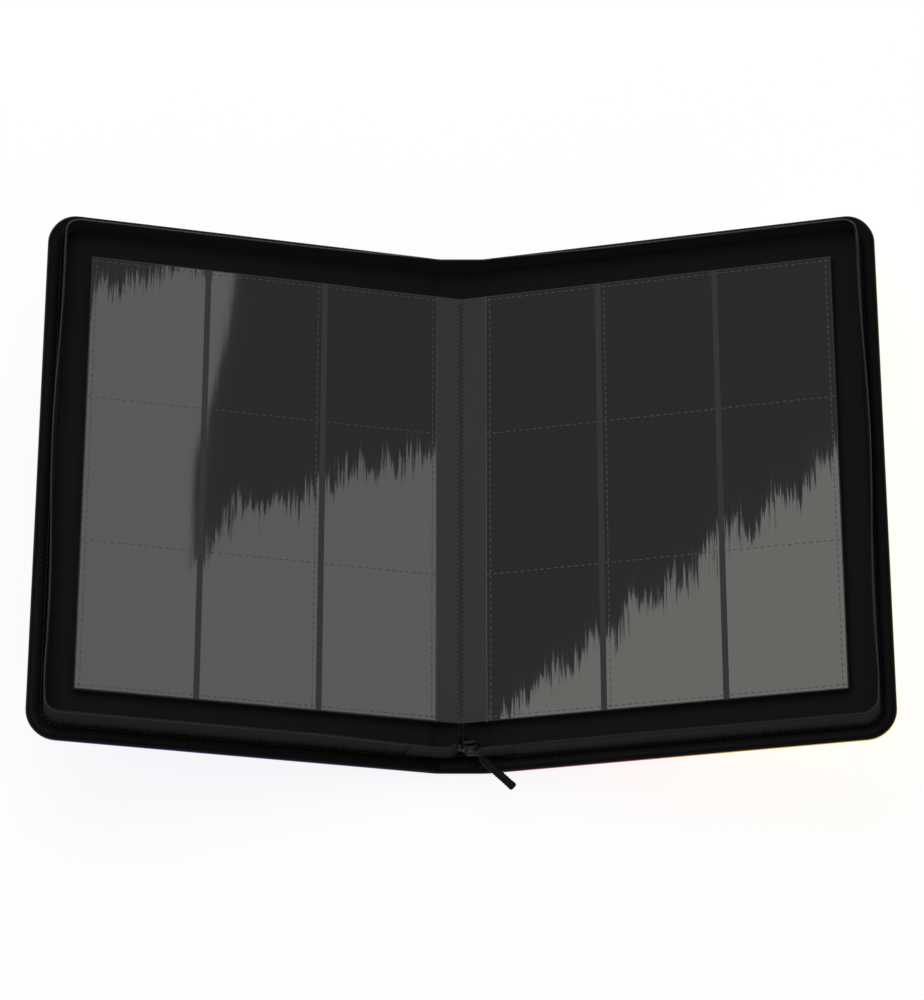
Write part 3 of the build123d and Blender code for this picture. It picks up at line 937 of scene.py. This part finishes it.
scene.collection.objects.link(stitch_curve)
stitch_mesh = bpy.data.meshes.new_from_object(stitch_curve.evaluated_get(bpy.context.evaluated_depsgraph_get()))
bpy.data.objects.remove(stitch_curve)
stitch_mesh.materials.clear()
binding_stitch = new_object("binding_stitch", stitch_mesh, soft_thread)
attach(binding_stitch, "spine")
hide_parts("binding_thread")

# ---------------------------------------------------------------- slider and stop
# The slider, its crown, the wire link and the end stop are die-cast zinc under black electrophoretic paint.
# The paint is satin, with a little grey wear where teeth and pull rub it.
WEAR_MM = 2.5
painted_zinc, zinc_shader = new_material("painted_zinc", "#0e0e0f", 0.5, Specular_IOR_Level=0.16)
zinc_tree = painted_zinc.node_tree
wear_place = add_node(zinc_tree, "ShaderNodeTexCoord")
wear = add_node(zinc_tree, "ShaderNodeTexNoise", {"Scale": 1000 / WEAR_MM, "Detail": 4.0},
                {"Vector": wear_place.outputs["Object"]})
wear_tone = add_node(zinc_tree, "ShaderNodeValToRGB", links={"Fac": wear.outputs[0]})
for stop, position, colour in zip(wear_tone.color_ramp.elements, (0.52, 0.75), ("#0f0f10", "#222224")):
    stop.position, stop.color = position, hex_colour(colour)
zinc_tree.links.new(wear_tone.outputs[0], zinc_shader.inputs["Base Color"])
cast_skin = add_node(zinc_tree, "ShaderNodeBump", {"Strength": 0.5, "Distance": 0.00004},
                     {"Height": wear.outputs[0]})
zinc_tree.links.new(cast_skin.outputs[0], zinc_shader.inputs["Normal"])
for node_name in ("slider_body", "slider_crown", "pull_link", "zip_end_stop"):
    refinish(node_name, painted_zinc)

# ---------------------------------------------------------------- pull grip
# A flat braided polyester cord, looped over the link and moulded into a grip, ribbed across, with a round end.
# It hangs out from the slider towards the tail and droops a little.
braid, braid_shader = new_material("braided_pull_cord", "#0f0f0f", 0.7, Specular_IOR_Level=0.1)
fine_grain(braid, braid_shader, grain_mm=0.5, depth_mm=0.08)
link_bar = Vector(joints["pull_swing"]["pos_m"])
PULL_ANGLE, PULL_DROOP = math.radians(44), math.radians(15)     # out from the zip's line, and down
LINK_END = 0.0056           # the grip begins this far along the link
GRIP_LENGTH = 0.0266
GRIP_WIDTH, GRIP_THICK = 0.0050, 0.0038
pull_out = page_along * math.cos(PULL_ANGLE) + Vector((0, -math.sin(PULL_ANGLE), 0))
grip_dir = pull_out * math.cos(PULL_DROOP) - page_up * math.sin(PULL_DROOP)
grip_up = page_up * math.cos(PULL_DROOP) + pull_out * math.sin(PULL_DROOP)
grip_side = grip_up.cross(grip_dir)
# Shares of its length: the neck widens up to NECK, ribs run to RIBS_TO, and the end is round from NOSE.
NECK, RIBS_TO, NOSE = 0.07, 0.9, 0.92
NECK_SIZE, TIP_SIZE = 0.65, 0.04
RIBS, RIB_DEPTH = 15, 0.10
AROUND = 16
sections = spread(0, 1, 1 / 120)
grip_points, grip_faces = [], []
for t in sections:
    nose = max(1 - max((t - NOSE) / (1 - NOSE), 0) ** 4, 0.0) ** 0.25
    collar = smooth(t / NECK) * (1 - NECK_SIZE) + NECK_SIZE
    rib = 1 - RIB_DEPTH * abs(math.sin(math.pi * RIBS * t)) ** 3 * (t < RIBS_TO)
    size = max(nose * collar * rib, TIP_SIZE)
    middle = link_bar + pull_out * LINK_END + grip_dir * (GRIP_LENGTH * t)
    for k in range(AROUND):
        angle = 2 * math.pi * k / AROUND
        grip_points.append(middle + grip_side * (math.cos(angle) * GRIP_WIDTH / 2 * size)
                           + grip_up * (math.sin(angle) * GRIP_THICK / 2 * size))
for i in range(len(sections) - 1):
    for k in range(AROUND):
        a, b = i * AROUND + k, i * AROUND + (k + 1) % AROUND
        grip_faces.append((a, b, b + AROUND, a + AROUND))
grip_faces.append(tuple(range(AROUND))[::-1])
grip_faces.append(tuple(len(grip_points) - AROUND + k for k in range(AROUND)))
grip_mesh = bpy.data.meshes.new("pull_cord")
grip_mesh.from_pydata(grip_points, [], grip_faces)
work = bmesh.new()
work.from_mesh(grip_mesh)
bmesh.ops.recalc_face_normals(work, faces=work.faces)
for face in work.faces:
    face.smooth = True
work.to_mesh(grip_mesh)
work.free()
grip = new_object("pull_cord", grip_mesh, braid)
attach(grip, "zip_pull")
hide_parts("pull_grip")
